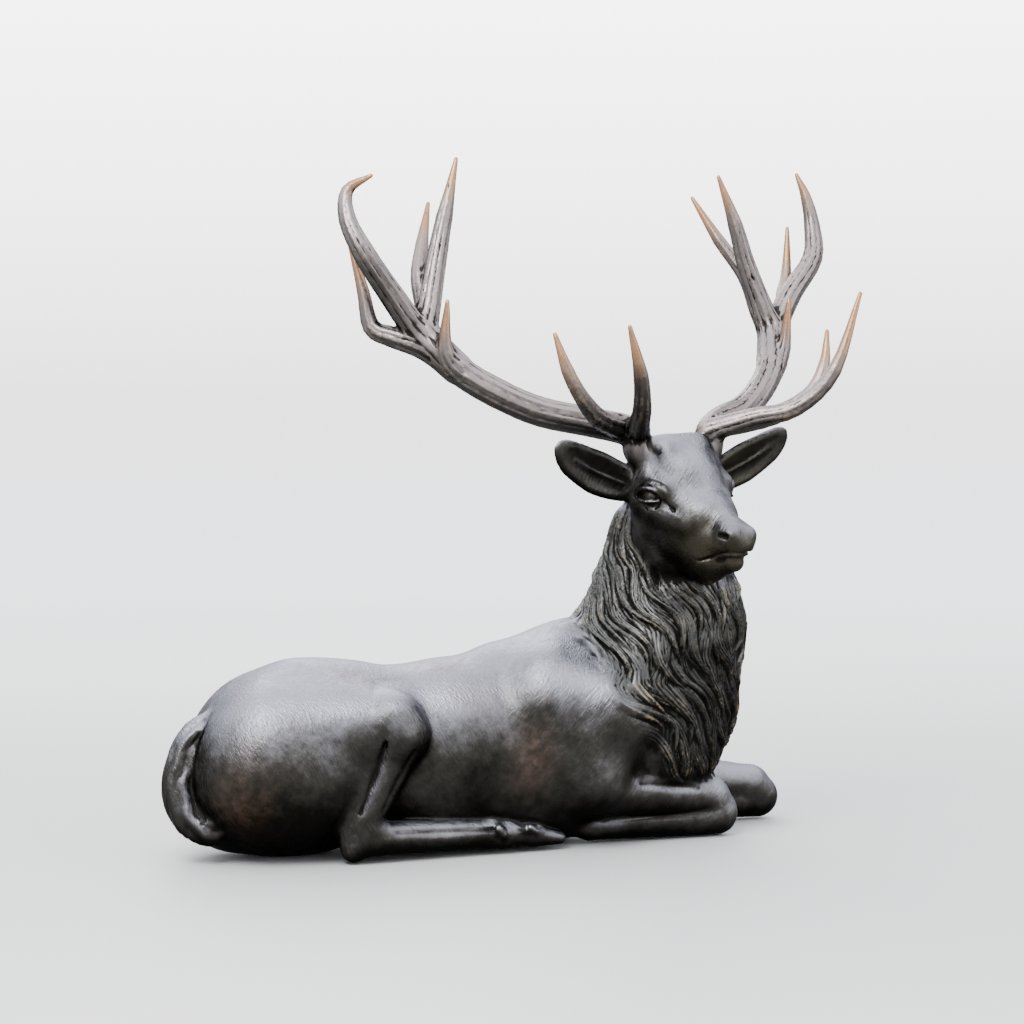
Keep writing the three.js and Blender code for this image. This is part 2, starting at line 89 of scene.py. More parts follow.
NECK = [
  ["neck root", [455, 0, 400, 195], [482, 0, 560, 176], 50],
  ["neck", [482, 0, 560, 176], [492, -15, 720, 140], 40],
  ["throat", [492, -15, 720, 140], [470, -45, 845, 98], 40],
  ["breast", [478, 0, 480, 198], [518, 0, 300, 132], 40],
  ["mane foot", [518, 0, 300, 132], [530, -10, 205, 60], 40],
]
HAUNCH = [
  ["thigh", [-515, -70, 262, 168], [-285, -155, 318, 84], 45],
  ["buttock", [-545, -75, 200, 155], [-470, -88, 195, 148], 50],
  ["knee cap", [-262, -185, 335, 60], [-250, -188, 300, 62], 30],
  ["shin", [-250, -188, 300, 60], [-335, -178, 95, 36], 18],
  ["calf", [-325, -165, 290, 52], [-372, -172, 60, 22], 25],
  ["hock", [-358, -170, 36, 32], [-315, -175, 85, 36], 12],
]
FOOT = [
  ["hind cannon", [-330, -172, 58, 42], [-20, -148, 52, 33], 12],
  ["hind fetlock", [-20, -148, 52, 37], [15, -146, 50, 36], 8],
  ["hind pastern", [15, -146, 50, 33], [90, -140, 46, 30], 8],
  ["hind hoof", [90, -140, 42, 31], [160, -137, 28, 15], 8],
  ["outer dewclaw", [-8, -182, 64, 13], [2, -182, 52, 12], 3],
  ["toe claw", [75, -170, 62, 9], [92, -168, 50, 8], 3],
]
FAR_HAUNCH = [
  ["far thigh", [-515, 70, 262, 168], [-300, 150, 255, 96], 50],
  ["far buttock", [-545, 75, 200, 155], [-470, 88, 195, 148], 50],
  ["far shin", [-300, 150, 240, 90], [-340, 110, 80, 50], 30],
  ["far hind cannon", [-330, 80, 60, 45], [-120, -5, 46, 34], 15],
  ["far hind hoof", [-120, -5, 46, 32], [-62, -22, 34, 20], 10],
]
FORELEG = [
  ["forearm", [280, -132, 142, 68], [570, -68, 104, 50], 20],
  ["fore knee", [580, -65, 92, 50], [600, -63, 62, 50], 15],
  ["fore cannon", [598, -67, 52, 49], [258, -80, 48, 40], 6],
  ["fore fetlock", [258, -76, 50, 40], [212, -78, 60, 40], 10],
  ["fore pastern", [212, -78, 60, 36], [136, -78, 72, 30], 8],
  ["fore hoof", [136, -78, 72, 30], [84, -82, 72, 24], 6],
  ["fore dewclaw", [204, -106, 92, 11], [232, -104, 98, 9], 3],
]
FAR_FORELEG = [
  ["far forearm", [430, 125, 125, 66], [768, 138, 92, 48], 25],
  ["far fore knee", [778, 138, 84, 50], [798, 138, 62, 50], 15],
  ["far fore cannon", [795, 138, 52, 48], [460, 130, 48, 38], 12],
  ["far fore pastern", [460, 130, 50, 38], [350, 115, 50, 28], 10],
]
CHAIN_STEPS = 4         # muscles between two joints of a smooth chain
TAIL_BLEND = 12.0
TAIL = [
  [-632, 0, 336, 28], [-700, -12, 296, 34], [-732, -22, 230, 38], [-738, -32, 165, 42], [-716, -50, 108, 44],
  [-680, -74, 84, 38], [-655, -92, 92, 20],
]

# ---- Grooves of the legs and the shoulder: the muscle each runs along, degrees round it from the outer
# ---- side, the two shares of its length that it runs between, radius ----
GROOVES = [
  ("shin", -30, 0.1, 0.8, 8),
  ("shin", 40, 0.1, 0.9, 8),
  ("hind cannon", -20, 0.2, 1.0, 5),
  ("forearm", -20, 0.2, 0.8, 7),
  ("shoulder blade", 30, 0.1, 0.9, 10),
]
GROOVE_RISE = 0.4       # how far a groove's middle stands off the muscle, as a share of its radius
GROOVE_TAPER = 0.4      # its radius at the ends, as a share of that in the middle
GROOVE_BLEND = 10.0

# ---- Head, in its own frame: forward, left and up of the point between the eyes ----
EYE_CENTRE = np.array([480.0, -170.0, 853.0])
HEAD_YAW = -73.0        # degrees, the muzzle turned to the animal's right
HEAD_PITCH = 22.0       # degrees, muzzle below the level
HEAD_ROLL = 2.5         # degrees, left ear raised
SKULL = [
  ["brain case", [-95, 0, 10, 92], [-30, 0, 16, 94], 20],
  ["poll", [-66, -46, 30, 66], [-66, 46, 30, 66], 20],
  ["forelock", [-70, -34, 80, 46], [-70, 34, 80, 46], 25],
  ["forehead", [0, 0, -6, 70], [80, 0, -10, 48], 25],
  ["nose bridge", [80, 0, -8, 44], [190, 0, -18, 32], 20],
  ["lower jaw", [-30, 0, -138, 70], [120, 0, -124, 50], 30],
  ["chin", [120, 0, -122, 50], [208, 0, -84, 25], 20],
]
FACE = [
  ["brow", [-48, -88, 26, 36], [8, -94, 24, 26], 20],
  ["pedicle", [-66, -84, 40, 36], [-97, -110, 82, 31], 16],
  ["temple", [-76, -92, -4, 46], [-52, -96, -26, 38], 25],
  ["cheek bone", [4, -92, -34, 30], [84, -62, -38, 28], 22],
  ["cheek", [-44, -58, -60, 54], [40, -46, -80, 50], 30],
  ["jaw muscle", [-24, -52, -112, 54], [8, -44, -152, 50], 30],
  ["upper jaw", [20, -42, -52, 50], [140, -22, -52, 38], 25],
  ["side of the mouth", [40, -40, -94, 46], [138, -30, -92, 36], 25],
  ["nostril", [182, -20, -20, 28], [206, -22, -18, 25], 10],
  ["upper lip", [140, -24, -62, 36], [210, -12, -38, 29], 12],
  ["crown tuft", [-84, -26, 90, 26], [-84, -60, 92, 28], 12],
  ["forehead side", [6, -60, 0, 42], [92, -30, -14, 38], 25],
  ["eyeball", [-12, -112, 2, 23], [-7, -111, 1, 23], 4],
]
HOLLOWS = [
  ["nostril hole", [190, -50, -20, 8], [210, -45, -15, 8], 4],
  ["nostril wing", [175, -50, -10, 3], [190, -50, -20, 5], 4],
  ["mouth corner", [150, -65, -105, 3], [175, -45, -85, 5], 3],
  ["mouth side", [175, -45, -85, 5], [205, -35, -60, 5], 3],
  ["mouth front", [205, -35, -60, 5], [230, -25, -50, 5], 3],
  ["mouth middle", [230, -25, -50, 5], [240, 0, -50, 5], 3],
  ["tear duct", [35, -105, 5, 3], [60, -90, -10, 4], 6],
]
EYE = [-12, -112, 2, 23]    # the near eyeball
EYE_MIDDLE = np.array([-4.0, -117.0, -4.0])   # between the corners of the near eye
EYE_OUT = np.array([0.30, -0.94, 0.12])       # where it looks
EYE_FRONT = np.array([0.90, 0.335, 0.27])     # from the outer corner to the inner one
EYELIDS = [             # half width, height, depth, shift forward, radius, blend, carves
    ("fold over the lid", 50, 42, 6, 8, 3.5, 6, True),
    ("upper lid", 36, 24, 14, 0, 6.0, 2.5, False),
    ("lower lid", 35, -9, 13, 0, 4.2, 2.5, False),
    ("wrinkle", 32, -22, 3, 0, 2.4, 4, True),
    ("second wrinkle", 27, -31, 0, 4, 2.0, 4, True),
]
EYELID_STEPS = 9
EAR = [[-70, 105, -5, 24], [-80, 165, 10, 33], [-85, 230, 35, 39], [-90, 300, 70, 29], [-95, 340, 100, 8]]
EAR_FACE = np.array([0.9, -0.25, 0.1])   # where the hollow of the left ear looks, mirrored for the right one
EAR_FLAT = 0.32         # thickness of an ear over its width
EAR_DISH = 14.0         # how far the hollow of an ear lies in front of its back
EAR_HOLLOW = 0.82       # width of the hollow over that of the ear
EAR_BLEND = 10.0
MIDRIB = 3.5            # radius of the rib along the hollow of an ear
MIDRIB_PROUD = 4.0
EAR_CARVE = 5.0

# ---- Antlers, level with the floor: forward and out from between the eyes, up, radius ----
# The joints are rounded from places solved with another script from the photograph; report.md says more.
BEAM = [[-60, 110, 105, 32], [-70, 125, 150, 36], [-125, 205, 175, 35], [-175, 315, 200, 35],
  [-220, 410, 245, 34], [-275, 495, 310, 34], [-335, 550, 395, 34]]
NEAR_OUTER = [[-275, 495, 310, 34], [-335, 560, 395, 32], [-350, 630, 490, 29], [-350, 700, 580, 26],
  [-380, 730, 665, 21], [-400, 720, 740, 15], [-350, 685, 775, 5]]
FAR_OUTER = [[-275, 495, 310, 34], [-335, 560, 395, 32], [-350, 630, 490, 29], [-350, 705, 580, 26],
  [-380, 730, 665, 21], [-395, 720, 740, 14], [-410, 700, 795, 5]]
NEAR_BACK = [[-275, 495, 310, 24], [-330, 555, 360, 28], [-375, 610, 385, 25], [-405, 650, 410, 21],
  [-420, 665, 500, 15], [-445, 690, 630, 5]]
FAR_BACK = [[-335, 560, 395, 20], [-350, 600, 445, 20], [-385, 630, 490, 17], [-410, 665, 545, 14],
  [-435, 690, 660, 5]]
NEAR_INNER = [[-275, 495, 310, 30], [-330, 540, 395, 30], [-350, 520, 465, 28], [-375, 485, 570, 25],
  [-390, 450, 690, 20], [-400, 410, 835, 5]]
FAR_INNER = [[-275, 495, 310, 30], [-330, 540, 395, 30], [-350, 525, 460, 28], [-370, 490, 560, 24],
  [-380, 460, 660, 19], [-395, 415, 775, 5]]
MID = [[-340, 540, 400, 26], [-360, 525, 450, 24], [-405, 515, 535, 20], [-460, 470, 625, 16],
  [-510, 420, 730, 5]]
TREZ = [[-220, 410, 245, 28], [-255, 485, 290, 24], [-265, 530, 350, 19], [-250, 535, 470, 5]]
BEZ = [[-80, 150, 160, 28], [-5, 270, 185, 23], [35, 350, 235, 18], [40, 395, 300, 15], [25, 420, 385, 5]]
NEAR_BROW = [[-55, 115, 150, 28], [30, 175, 180, 24], [110, 230, 215, 21], [180, 290, 290, 17],
  [210, 345, 400, 5]]
FAR_BROW = [[-55, 105, 150, 28], [30, 170, 180, 24], [120, 235, 205, 21], [190, 295, 290, 17],
  [220, 350, 465, 5]]
ANTLER_BLEND = 13.0
ANTLER_START = 150.0    # height over the eyes where the antlers leave the skull
NEAR_RISE = 0.97        # the near antler is a little lower than the drawn one
FAR_RISE = 1.06         # and the far one a little taller

# ---- Mane: tiers of pointed locks that run down the neck and close in on a parting ----
NECK_Z = [190, 300, 400, 480, 560, 720, 845]
NECK_X = [520, 505, 455, 470, 482, 492, 470]
NECK_Y = [-10, 0, 0, 0, 0, -15, -45]
PARTING = ([200, 700], [-30, -72])                  # height, degrees from +X
COVER = ([150, 300, 360, 430, 500, 520, 600], [132, 135, 138, 147, 163, 176, 212])  # height, degrees from +X
NAPE_FADE = 10.0        # degrees beside the line where the two sides meet behind
GATHER = ([430, 520, 620, 820], [0.5, 0.34, 0.0, -0.57])  # height, log of the flow's closing in
MANE_FOOT = (135, 190)  # heights between which the mane fades in
MANE_TOP = ([45, 95], [660, 835])                   # degrees from the parting, height
MANE_FADE = 45.0
TIER = 88.0             # fall from one tier of locks to the next
LOCK_LENGTH = 240.0
LOCK_WIDTH = 46.0
NECK_RADIUS = 190.0     # turns degrees of flow into millimetres
LOCK_HEIGHT = 21.0
LOCK_SINK = 0.35        # part of a lock's height that lies below the neck's surface
LOCK_CURL = 0.42
WAVE = 3.5              # degrees
WAVE_LENGTH = 190.0
UNDERCOAT = 0.26        # height of the hair between the locks, over the height of a lock
STRANDS = 30.0          # strands across a lock, in radians of their wave
STRAND_DEPTH = 0.12     # over the height of the lock

# ---- Relief of the antlers and the tail ----
RIDGES = 9              # round a beam
RIDGE_DEPTH = 1.9
TAIL_STRANDS = 7        # round the tail
TAIL_TWIST = 0.35       # radians from one muscle to the next
TAIL_DEPTH = 3.0
FACE_CENTRE = np.array([500.0, -210.0, 850.0])
FACE_REACH = 290.0      # the face is sampled finely within this
EYE_REACH = 44.0        # and an eye twice as finely within this
HOLLOW_SMOOTHING = 2
HOLLOW_GAIN = 9.0

# ---- Patches of the patina: name, centre, size along x, y and z ----
COPPER_PATCHES = [
  ("buttock", [-600, -190, 190], [110, 90, 120]),
  ("flank", [60, -220, 250], [60, 60, 120]),
  ("flank, upper", [-40, -170, 390], [90, 60, 50]),
  ("hip", [-330, -120, 440], [100, 80, 40]),
  ("loin", [-120, -60, 440], [120, 60, 40]),
]
PALE_PATCHES = [
  ("rump", [-500, -120, 400], [220, 120, 90]),
  ("shoulder", [220, -200, 400], [110, 80, 110]),
  ("forehead", [510, -240, 900], [70, 70, 60]),
]
OLIVE_PATCHES = [
  ("lower face", [500, -300, 720], [120, 120, 90]),
  ("near ear", [320, -290, 900], [110, 90, 80]),
  ("far ear", [680, -120, 910], [110, 90, 80]),
]

# ---- Colours of the bronze, and of the shade and sheen painted on it ----
# DARK and LILAC serve as painted shade and painted sheen as well as tones of the patina
DARK = (0.0045, 0.0044, 0.0034)
BROWN = (0.036, 0.0335, 0.030)
LILAC = (0.21, 0.21, 0.24)
COPPER = (0.13, 0.068, 0.038)
OLIVE = (0.032, 0.028, 0.018)
GOLD = (0.30, 0.235, 0.15)
MANE_DARK = (0.006, 0.006, 0.0045)
MANE_GREY = (0.075, 0.076, 0.072)
EYE_BROWN = (0.006, 0.005, 0.003)
ANTLER_GREY = (0.20, 0.172, 0.168)
TIP_GOLD = (0.27, 0.15, 0.08)
STROKE_SIZE = (0.026, 0.008, 0.0048)   # of a tuft of hair, along, across and through, in metres
HIND_STROKES = 62       # degrees below level
FORE_STROKES = -52
STROKE_TURN = (-0.1, 0.2)   # metres along X between which the hind coat's strokes turn into the fore coat's
BUMP_STRENGTH = 0.6
BUMP_DISTANCE = 0.004       # metres

# ---- Floor, camera, backdrop and lights, in metres ----
FLOOR_SIZE = 60
FLOOR_REACH = (0.5, 9.0)        # distances from the stag between which the floor's painted shade gives way to paler floor
FLOOR_NEAR = (0.36, 0.36, 0.36)
FLOOR_FAR = (0.80, 0.80, 0.80)
CAMERA_PLACE = (-1.794, -5.781, 1.080)
CAMERA_HEADING = -18.0  # degrees to the right of +Y
CAMERA_PITCH = -2.565   # degrees, down
CAMERA_LENS = 87.9      # on a 36 mm sensor
SENSOR_WIDTH = 36
HORIZON = (2.78, 2.80, 2.82)
SKY = (6.2, 6.2, 6.2)
WALLS = (0.9, 0.92, 0.95)
CEILING = (4.2, 4.3, 4.5)
SKY_TOP = 0.16          # height of the ramp over the horizon at which the backdrop is as bright as the sky
CEILING_TOP = 0.8       # and at which the light from round about is as bright as the ceiling
LIGHTS = [              # name, place, side of the square, watts
  ("key", (-2.5, -3.0, 4.5), 2.5, 520),
  ("fill", (4.0, -3.5, 2.0), 3.0, 120),
  ("rim", (0.5, 4.0, 3.5), 3.0, 240),
]


# ---- Noise ----
def scatter(i, j):
    value = np.sin(i * 12.9898 + j * 78.233) * 43758.5453
    return value - np.floor(value)


def smooth_step(start, end, value):
    t = np.clip((value - start) / (end - start), 0, 1)
    return t * t * (3 - 2 * t)


# ---- Muscles ----
class Muscle:
    """A tapered capsule, flattened along one direction if flat is given, that joins the form or carves it."""

    def __init__(self, start, end, blend, flat=None, carves=False, part="", chain=None):
        self.start = np.array(start[:3], float)
        self.end = np.array(end[:3], float)
        self.radii = float(start[3]), float(end[3])
        self.blend = blend
        self.flat = flat
        self.carves = carves
        self.part = part
        self.chain = chain if chain is not None else self
        self.centre = (self.start + self.end) / 2
        self.reach = np.linalg.norm(self.end - self.start) / 2 + max(self.radii)

    def place(self, points):
        """The share of the way along the muscle, and the distance from its surface, of each point."""
        if self.flat is not None:
            off = (points - self.start) @ self.flat
            points = points + off[:, None] * self.flat * (1 / EAR_FLAT - 1)
        axis = self.end - self.start
        along = np.clip((points - self.start) @ axis / (axis @ axis + 1e-9), 0, 1)
        radius = self.radii[0] + (self.radii[1] - self.radii[0]) * along
        distance = np.linalg.norm(points - self.start - along[:, None] * axis, axis=1) - radius
        return along, distance * (EAR_FLAT if self.flat is not None else 1)


def table_muscles(table, side=1, part="body"):
    """The muscles of a table, or their mirror images if side is -1."""
    def mirrored(joint):
        return [joint[0], joint[1] * side, joint[2], joint[3]]

    return [Muscle(mirrored(a), mirrored(b), blend, part=part) for _, a, b, blend in table]


def head_axes(yaw, pitch, roll):
    """Forward, left and up of the head, as rows."""
    a, p, r = np.radians([yaw, pitch, roll])
    level = np.array([np.cos(a), np.sin(a), 0.0])
    left = np.array([-np.sin(a), np.cos(a), 0.0])
    up = np.array([0.0, 0.0, 1.0])
    forward = level * np.cos(p) - up * np.sin(p)
    crown = level * np.sin(p) + up * np.cos(p)
    return np.array([forward, left * np.cos(r) + crown * np.sin(r), crown * np.cos(r) - left * np.sin(r)])


SKULL_AXES = head_axes(HEAD_YAW, HEAD_PITCH, HEAD_ROLL)
ANTLER_AXES = head_axes(HEAD_YAW, 0.0, 0.0)


def placed(axes, joint, side=1):
    """A joint of the head or of an antler in the frame of the body."""
    point = EYE_CENTRE + np.array([joint[0], joint[1] * side, joint[2]], float) @ axes
    return [*point, joint[3]]


def smooth_chain(joints):
    """More joints on a Catmull-Rom curve through these."""
    knots = np.array(joints, float)
    knots = np.vstack([2 * knots[0] - knots[1], knots, 2 * knots[-1] - knots[-2]])
    curve = []
    for p0, p1, p2, p3 in zip(knots, knots[1:], knots[2:], knots[3:]):
        for t in np.arange(CHAIN_STEPS) / CHAIN_STEPS:
            point = 0.5 * (2 * p1 + (p2 - p0) * t + (2 * p0 - 5 * p1 + 4 * p2 - p3) * t ** 2
                           + (3 * p1 - p0 - 3 * p2 + p3) * t ** 3)
            point[3] = p1[3] + (p2[3] - p1[3]) * t
            curve.append(point)
    return curve + [knots[-2]]


def chain_muscles(joints, blend, **words):
    """Muscles from joint to joint that count as one, so that no seam swells between them."""
    chain = object()
    return [Muscle(a, b, blend, chain=chain, **words) for a, b in zip(joints, joints[1:])]


def skull_muscles(table, side=1, carves=False):
    muscles = []
    for _, start, end, blend in table:
        ends = placed(SKULL_AXES, start, side), placed(SKULL_AXES, end, side)
        muscles.append(Muscle(*ends, blend, carves=carves, part="head"))
    return muscles


def head_muscles():
    muscles = skull_muscles(SKULL)
    for side in (1, -1):
        muscles += skull_muscles(FACE, side) + eyelid_muscles(side)
    for side in (1, -1):
        muscles += skull_muscles(HOLLOWS, side, carves=True)
    return muscles


def eyelid_muscles(side):
    """Lids and the folds round them: arcs in front of the eyeball, from the inner to the outer corner."""
    crown = np.cross(EYE_OUT, EYE_FRONT)
    muscles = []
    for _, width, height, depth, shift, radius, blend, carves in EYELIDS:
        arc = []
        for turn in np.linspace(0, np.pi, EYELID_STEPS):
            point = EYE_MIDDLE + EYE_OUT * depth * np.sin(turn) ** 2
            point = point + EYE_FRONT * (shift + width * np.cos(turn)) + crown * height * np.sin(turn)
            arc.append(placed(SKULL_AXES, [*point, radius * (0.6 + 0.4 * np.sin(turn))], side))
        muscles += chain_muscles(arc, blend, carves=carves, part="head")
    return muscles


def ear_muscles(side):
    """A flat ear with a hollow face and a rib along the hollow."""
    joints = smooth_chain([placed(SKULL_AXES, joint, side) for joint in EAR])
    length = np.subtract(joints[-1][:3], joints[0][:3])
    length /= np.linalg.norm(length)
    face = (EAR_FACE * [1, side, 1]) @ SKULL_AXES
    face -= length * (face @ length)
    face /= np.linalg.norm(face)
    dish = [[*(np.array(j[:3]) + face * EAR_DISH), j[3] * EAR_HOLLOW] for j in joints]
    ear = [Muscle(a, b, EAR_BLEND, face, part="ear") for a, b in zip(joints, joints[1:])]
    dish = dish[CHAIN_STEPS:-1]
    hollow = [Muscle(a, b, EAR_CARVE, face, True, part="ear") for a, b in zip(dish, dish[1:])]
    rib = [[*(np.array(j[:3]) + face * MIDRIB_PROUD), MIDRIB] for j in joints[:-CHAIN_STEPS]]
    return ear + hollow + chain_muscles(rib, EAR_CARVE, part="ear")


def antler_muscles(side, tines, rise):
    """The beam of an antler with its tines, stretched upward by the rise."""
    def lifted(joint):
        over = max(0.0, joint[2] - ANTLER_START)
        return placed(ANTLER_AXES, [joint[0], joint[1], joint[2] + over * (rise - 1), joint[3]], side)

    muscles = []
    for chain in [BEAM, MID, TREZ, BEZ, *tines]:
        joints = smooth_chain([lifted(joint) for joint in chain])
        muscles += chain_muscles(joints, ANTLER_BLEND, part="antler")
    return muscles


def groove_muscles(name, turn, first, last, radius):
    """A groove pressed into the outer side of a muscle, along its length."""
    rows = TRUNK + SHOULDER + HAUNCH + FOOT + FORELEG
    start, end = next((np.array(a, float), np.array(b, float)) for word, a, b, _ in rows if word == name)
    axis = (end - start)[:3] / np.linalg.norm((end - start)[:3])
    outer = np.array([0.0, -1.0, 0.0]) + axis * axis[1]
    outer /= np.linalg.norm(outer)
    spoke = outer * np.cos(np.radians(turn)) + np.cross(axis, outer) * np.sin(np.radians(turn))
    joints = []
    for share, size in ((first, GROOVE_TAPER), ((first + last) / 2, 1.0), (last, GROOVE_TAPER)):
        middle = start + (end - start) * share
        place = middle[:3] + spoke * (middle[3] + GROOVE_RISE * radius)
        joints.append([*place, radius * size])
    return chain_muscles(smooth_chain(joints), GROOVE_BLEND, carves=True, part="groove")


def all_muscles():
    body = table_muscles(TRUNK) + table_muscles(SHOULDER) + table_muscles(SHOULDER, -1)
    body += table_muscles(NECK, part="neck") + table_muscles(HAUNCH) + table_muscles(FAR_HAUNCH)
    body += table_muscles(FOOT, part="foot") + table_muscles(FORELEG, part="foot")
    body += table_muscles(FAR_FORELEG, part="foot")
    body += chain_muscles(smooth_chain(TAIL), TAIL_BLEND, part="tail")
    for row in GROOVES:
        body += groove_muscles(*row)
    head = head_muscles() + ear_muscles(-1) + ear_muscles(1)
    near = antler_muscles(-1, [NEAR_OUTER, NEAR_BACK, NEAR_INNER, NEAR_BROW], NEAR_RISE)
    far = antler_muscles(1, [FAR_OUTER, FAR_BACK, FAR_INNER, FAR_BROW], FAR_RISE)
    return body + head + near + far


# ---- Distance field ----
def smooth_union(a, b, blend):
    overlap = np.maximum(blend - np.abs(a - b), 0) / blend
    return np.minimum(a, b) - overlap * overlap * blend * 0.25


def near_to(muscles, points):
    """The muscles that can matter to these points, which lie close together."""
    centre = points.mean(axis=0)
    reach = np.linalg.norm(points - centre, axis=1).max()
    return [m for m in muscles if np.linalg.norm(centre - m.centre) < m.reach + reach + 160]


def field(points, muscles):
    """Distance of each point from the form's surface, negative inside and cut off flat at the floor."""
    distance = np.full(len(points), FAR)
    for _, chain in itertools.groupby(muscles, key=lambda m: id(m.chain)):
        chain = list(chain)
        own = np.min([muscle.place(points)[1] for muscle in chain], axis=0)
        if chain[0].carves:
            distance = -smooth_union(-distance, own, chain[0].blend)
        else:
            distance = smooth_union(distance, own, chain[0].blend)
    return np.maximum(distance, -points[:, 2])


def grid(low, counts, step):
    """The points of a regular grid, as rows."""
    axes = [low[i] + step * np.arange(counts[i]) for i in range(3)]
    return np.stack(np.meshgrid(*axes, indexing="ij"), -1).reshape(-1, 3)


def sampled_field(muscles):
    """The field on a regular grid, worked out only in the blocks that the surface crosses."""
    ends = np.array([[*end, radius] for m in muscles for end, radius in zip((m.start, m.end), m.radii)])
    low = (ends[:, :3] - ends[:, 3:]).min(axis=0) - MARGIN
    high = (ends[:, :3] + ends[:, 3:]).max(axis=0) + MARGIN
    low[2] = -2.5 * CELL
    span = BLOCK * CELL
    blocks = np.ceil((high - low) / span).astype(int)
    values = np.full(blocks * BLOCK + 1, FAR, np.float32)
    centres = grid(low + span / 2, blocks, span)
    at_centre = field(centres, muscles)
    reach = span * math.sqrt(3) / 2 * 1.3
    corners = np.stack(np.unravel_index(np.arange(len(centres)), blocks), -1) * BLOCK
    inside = at_centre < -reach
    crossed = np.abs(at_centre) <= reach
    for corner in corners[inside]:
        values[tuple(slice(c, c + BLOCK + 1) for c in corner)] = -FAR
    for corner in corners[crossed]:
        points = grid(low + corner * CELL, [BLOCK + 1] * 3, CELL)
        block = field(points, near_to(muscles, points))
        values[tuple(slice(c, c + BLOCK + 1) for c in corner)] = block.reshape([BLOCK + 1] * 3)
    return values, low


def surface_nets(values, low):
    """One vertex in each cell that the surface crosses, and one quad over each grid edge that it crosses."""
    solid = values < 0
    shape = np.array(values.shape) - 1
    corners = np.stack(np.unravel_index(np.arange(8), (2, 2, 2)), -1)
    filled = sum(solid[tuple(slice(c, c + n) for c, n in zip(corner, shape))].astype(np.uint8)
                 for corner in corners)
    active = (filled > 0) & (filled < 8)
    cells = np.argwhere(active)
    number = np.full(active.shape, -1, np.int64)
    number[active] = np.arange(len(cells))
    total = np.zeros((len(cells), 3))
    crossings = np.zeros(len(cells))
    for corner in corners:
        for axis in np.flatnonzero(corner == 0):
            far_corner = corner + np.eye(3, dtype=int)[axis]
            start = values[tuple((cells + corner).T)]
            end = values[tuple((cells + far_corner).T)]
            crossed = (start < 0) != (end < 0)
            point = np.tile(corner.astype(float), (len(cells), 1))
            point[:, axis] += np.where(crossed, start / (start - end + 1e-12), 0)
            total[crossed] += point[crossed]
            crossings[crossed] += 1
    vertices = low + CELL * (cells + total / crossings[:, None])
    quads = []
    for axis in range(3):
        step = np.eye(3, dtype=int)[axis]
        size = tuple(np.array(solid.shape) - step)
        start = solid[tuple(slice(0, n) for n in size)]
        end = solid[tuple(slice(s, s + n) for s, n in zip(step, size))]
        edges = np.argwhere(start != end)
        leaving = start[tuple(edges.T)]
        one, two = np.eye(3, dtype=int)[[(axis + 1) % 3, (axis + 2) % 3]]
        ring = [number[tuple((edges - back).T)] for back in (0 * one, one, one + two, two)]
        quad = np.stack(ring, -1)
        quad[~leaving] = quad[~leaving][:, ::-1]
        quads.append(quad)
    return vertices, np.concatenate(quads)


# ---- Mane relief ----
def mane_place(points):
    """Degrees from the parting, the side of it, and how much of the mane there is, at each point."""
    x, y, z = points.T
    angle = np.degrees(np.arctan2(y - np.interp(z, NECK_Z, NECK_Y), x - np.interp(z, NECK_Z, NECK_X)))
    turned = (angle - np.interp(z, *PARTING) + 180) % 360 - 180
    off = np.abs(turned)
    cover = np.interp(z, *COVER)
    top = np.interp(off, *MANE_TOP)
    share = (1 - smooth_step(cover - 22, cover, np.abs(angle))) * (1 - smooth_step(top - MANE_FADE, top, z))
    return off, turned > 0, share * smooth_step(*MANE_FOOT, z) * (1 - smooth_step(180 - NAPE_FADE, 180, off))


def mane_relief(points):
    """The height of the locks over the neck, and the strand that each point lies on."""
    z = points[:, 2]
    off, far_side, share = mane_place(points)
    half = np.where(far_side, 50, 0)
    waved = off + WAVE * np.sin(2 * np.pi * z / WAVE_LENGTH + off / 17)
    flow = waved * np.exp(np.interp(z, *GATHER))
    hair = flow / 3.1 + 0.5 * np.sin(z / 41 + off / 19)
    height = UNDERCOAT * (1 + 0.35 * np.cos(hair * 2 * np.pi))
    strand_of = hair
    for step in range(5):
        tier = np.floor(z / TIER) + step
        width = np.degrees(LOCK_WIDTH / NECK_RADIUS) * np.exp(np.interp(tier * TIER, *GATHER))
        shifted = flow / width - 0.5 * (tier % 2)
        for beside in (-1, 0, 1):
            column = np.floor(shifted) + beside
            a = scatter(column + half, tier)
            b = scatter(column + half + 7, tier + 13)
            fall = ((tier + 0.5 * (a - 0.5)) * TIER + 28 - z) / (LOCK_LENGTH * (0.7 + 0.6 * b))
            inside = (fall > 0) & (fall < 1)
            fall = np.clip(fall, 0, 1)
            curl = LOCK_CURL * np.sin(5.2 * fall + 6.28 * a) + 0.5 * (b - 0.5) * fall
            across = shifted - column - 0.5 - curl
            wide = 0.66 * (0.75 + 0.5 * a) * np.sqrt(np.minimum(1, fall * 7)) * (1 - fall ** 2.2) + 1e-3
            crown = np.sqrt(np.maximum(0, 1 - (across / wide) ** 2))
            strand = 1 + STRAND_DEPTH * np.cos(across * STRANDS + 3 * a)
            tip = np.minimum(1, (1 - fall) * 5) ** 0.6
            lock = crown * (0.35 + 0.65 * fall) * (0.8 + 0.4 * a) * strand * tip * inside
            strand_of = np.where(lock > height, across + 4 * a, strand_of)
            height = np.maximum(height, lock)
    return (height - LOCK_SINK) * LOCK_HEIGHT * share, strand_of


# ---- The casting ----
def mesh_object(name, vertices, faces):
    mesh = bpy.data.meshes.new(name)
    mesh.from_pydata((vertices * MM).tolist(), [], faces.tolist())
    mesh.update()
    piece = bpy.data.objects.new(name, mesh)
    bpy.context.collection.objects.link(piece)
    return piece


def vertex_array(mesh, what="co"):
    values = np.empty(len(mesh.vertices) * 3, np.float32)
    if what == "co":
        mesh.vertices.foreach_get("co", values)
    else:
        mesh.vertex_normals.foreach_get("vector", values)
    return values.reshape(-1, 3).astype(float)


